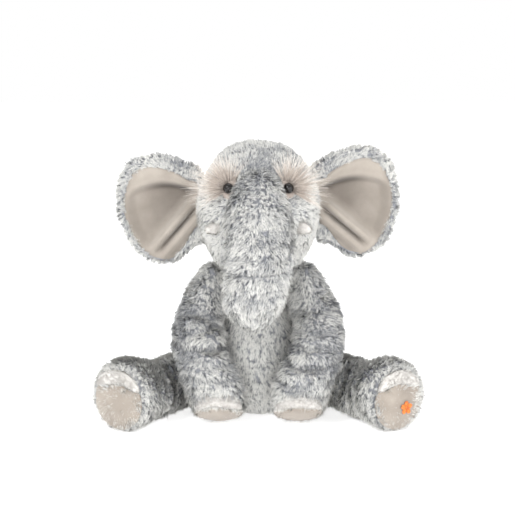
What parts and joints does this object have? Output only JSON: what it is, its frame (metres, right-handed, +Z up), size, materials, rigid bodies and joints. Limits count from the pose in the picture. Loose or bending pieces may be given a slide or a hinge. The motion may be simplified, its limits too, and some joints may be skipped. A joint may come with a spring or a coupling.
{
  "type": "stuffed elephant",
  "caption": "Seated soft toy elephant in frosted grey fur, with big lined ears, a hanging trunk, pale soles and limbs that swing at their seams.",
  "frame": {"origin": "middle of the seat, on the surface that the toy sits on", "axes": "+Z up, the toy faces -Y, +X is the toy's own left"},
  "size_m": [0.3826, 0.2319, 0.3211],
  "materials": {
    "grey_fur": "long frosted pile, pale tips over dark roots",
    "blush_fur": "long loose pile",
    "velour": "short smooth nap",
    "white_plush": "short soft pile",
    "orange_stitching": "satin stitch",
    "fibre": "loose polyester fibre",
    "bag_cloth": "plain weave",
    "pellets": "fine plastic beads",
    "eye_gloss": "polished dome",
    "washer_plastic": "moulded"
  },
  "bodies": {
    "torso": {"torso_cover": "grey_fur", "torso_filling": "fibre", "pellet_bag": "bag_cloth", "pellets": "pellets"},
    "neck": {"neck_filling": "fibre"},
    "head": {"head_cover": "grey_fur", "head_filling": "fibre", "eye_left": "eye_gloss", "eye_right": "eye_gloss", "eye_washer_left": "washer_plastic", "eye_washer_right": "washer_plastic", "eye_patch_left": "blush_fur", "eye_patch_right": "blush_fur", "tusk_left": "white_plush", "tusk_right": "white_plush"},
    "trunk": {"trunk_cover": "grey_fur", "trunk_filling": "fibre"},
    "ear_left": {"ear_back_left": "grey_fur", "ear_lining_left": "velour"},
    "ear_right": {"ear_back_right": "grey_fur", "ear_lining_right": "velour"},
    "arm_left": {"arm_cover_left": "grey_fur", "arm_filling_left": "fibre", "arm_sole_left": "velour", "arm_toe_left": "white_plush"},
    "arm_right": {"arm_cover_right": "grey_fur", "arm_filling_right": "fibre", "arm_sole_right": "velour", "arm_toe_right": "white_plush"},
    "leg_left": {"leg_cover_left": "grey_fur", "leg_filling_left": "fibre", "leg_sole_left": "velour", "leg_toe_left": "white_plush", "sole_motif": "orange_stitching"},
    "leg_right": {"leg_cover_right": "grey_fur", "leg_filling_right": "fibre", "leg_sole_right": "velour", "leg_toe_right": "white_plush"},
    "tail": {"tail_cover": "grey_fur", "tail_tuft": "grey_fur"}
  },
  "joints": [
    {"name": "neck_turn", "type": "hinge", "parent": "torso", "child": "neck", "pos_m": [0, -0.006, 0.174], "axis": [0, 0, 1], "range_deg": [-15, 15]},
    {"name": "head_nod", "type": "hinge", "parent": "neck", "child": "head", "pos_m": [0, -0.006, 0.174], "axis": [-1, 0, 0], "range_deg": [-4, 12]},
    {"name": "trunk_lift", "type": "hinge", "parent": "head", "child": "trunk", "pos_m": [0, -0.08718, 0.23748], "axis": [-1, 0, 0], "range_deg": [0, 70], "stiffness_Nm_per_rad": 0.04},
    {"name": "ear_fold_left", "type": "hinge", "parent": "head", "child": "ear_left", "pos_m": [0.0805, -0.014, 0.24756], "axis": [0, 0, -1], "range_deg": [-20, 40], "stiffness_Nm_per_rad": 0.02},
    {"name": "ear_fold_right", "type": "hinge", "parent": "head", "child": "ear_right", "pos_m": [-0.0805, -0.014, 0.24756], "axis": [0, 0, 1], "range_deg": [-20, 40], "stiffness_Nm_per_rad": 0.02},
    {"name": "arm_lift_left", "type": "hinge", "parent": "torso", "child": "arm_left", "pos_m": [0.0594, -0.0228, 0.146], "axis": [-0.866, -0.5, 0], "range_deg": [0, 72]},
    {"name": "arm_lift_right", "type": "hinge", "parent": "torso", "child": "arm_right", "pos_m": [-0.0594, -0.0228, 0.146], "axis": [-0.866, 0.5, 0], "range_deg": [0, 72]},
    {"name": "leg_spread_left", "type": "hinge", "parent": "torso", "child": "leg_left", "pos_m": [0.08205, 0.01007, 0.0346], "axis": [0, 0, 1], "range_deg": [0, 35]},
    {"name": "leg_spread_right", "type": "hinge", "parent": "torso", "child": "leg_right", "pos_m": [-0.08205, 0.01007, 0.0346], "axis": [0, 0, -1], "range_deg": [0, 35]},
    {"name": "tail_lift", "type": "hinge", "parent": "torso", "child": "tail", "pos_m": [0, 0.07173, 0.052], "axis": [1, 0, 0], "range_deg": [0, 60]}
  ]
}
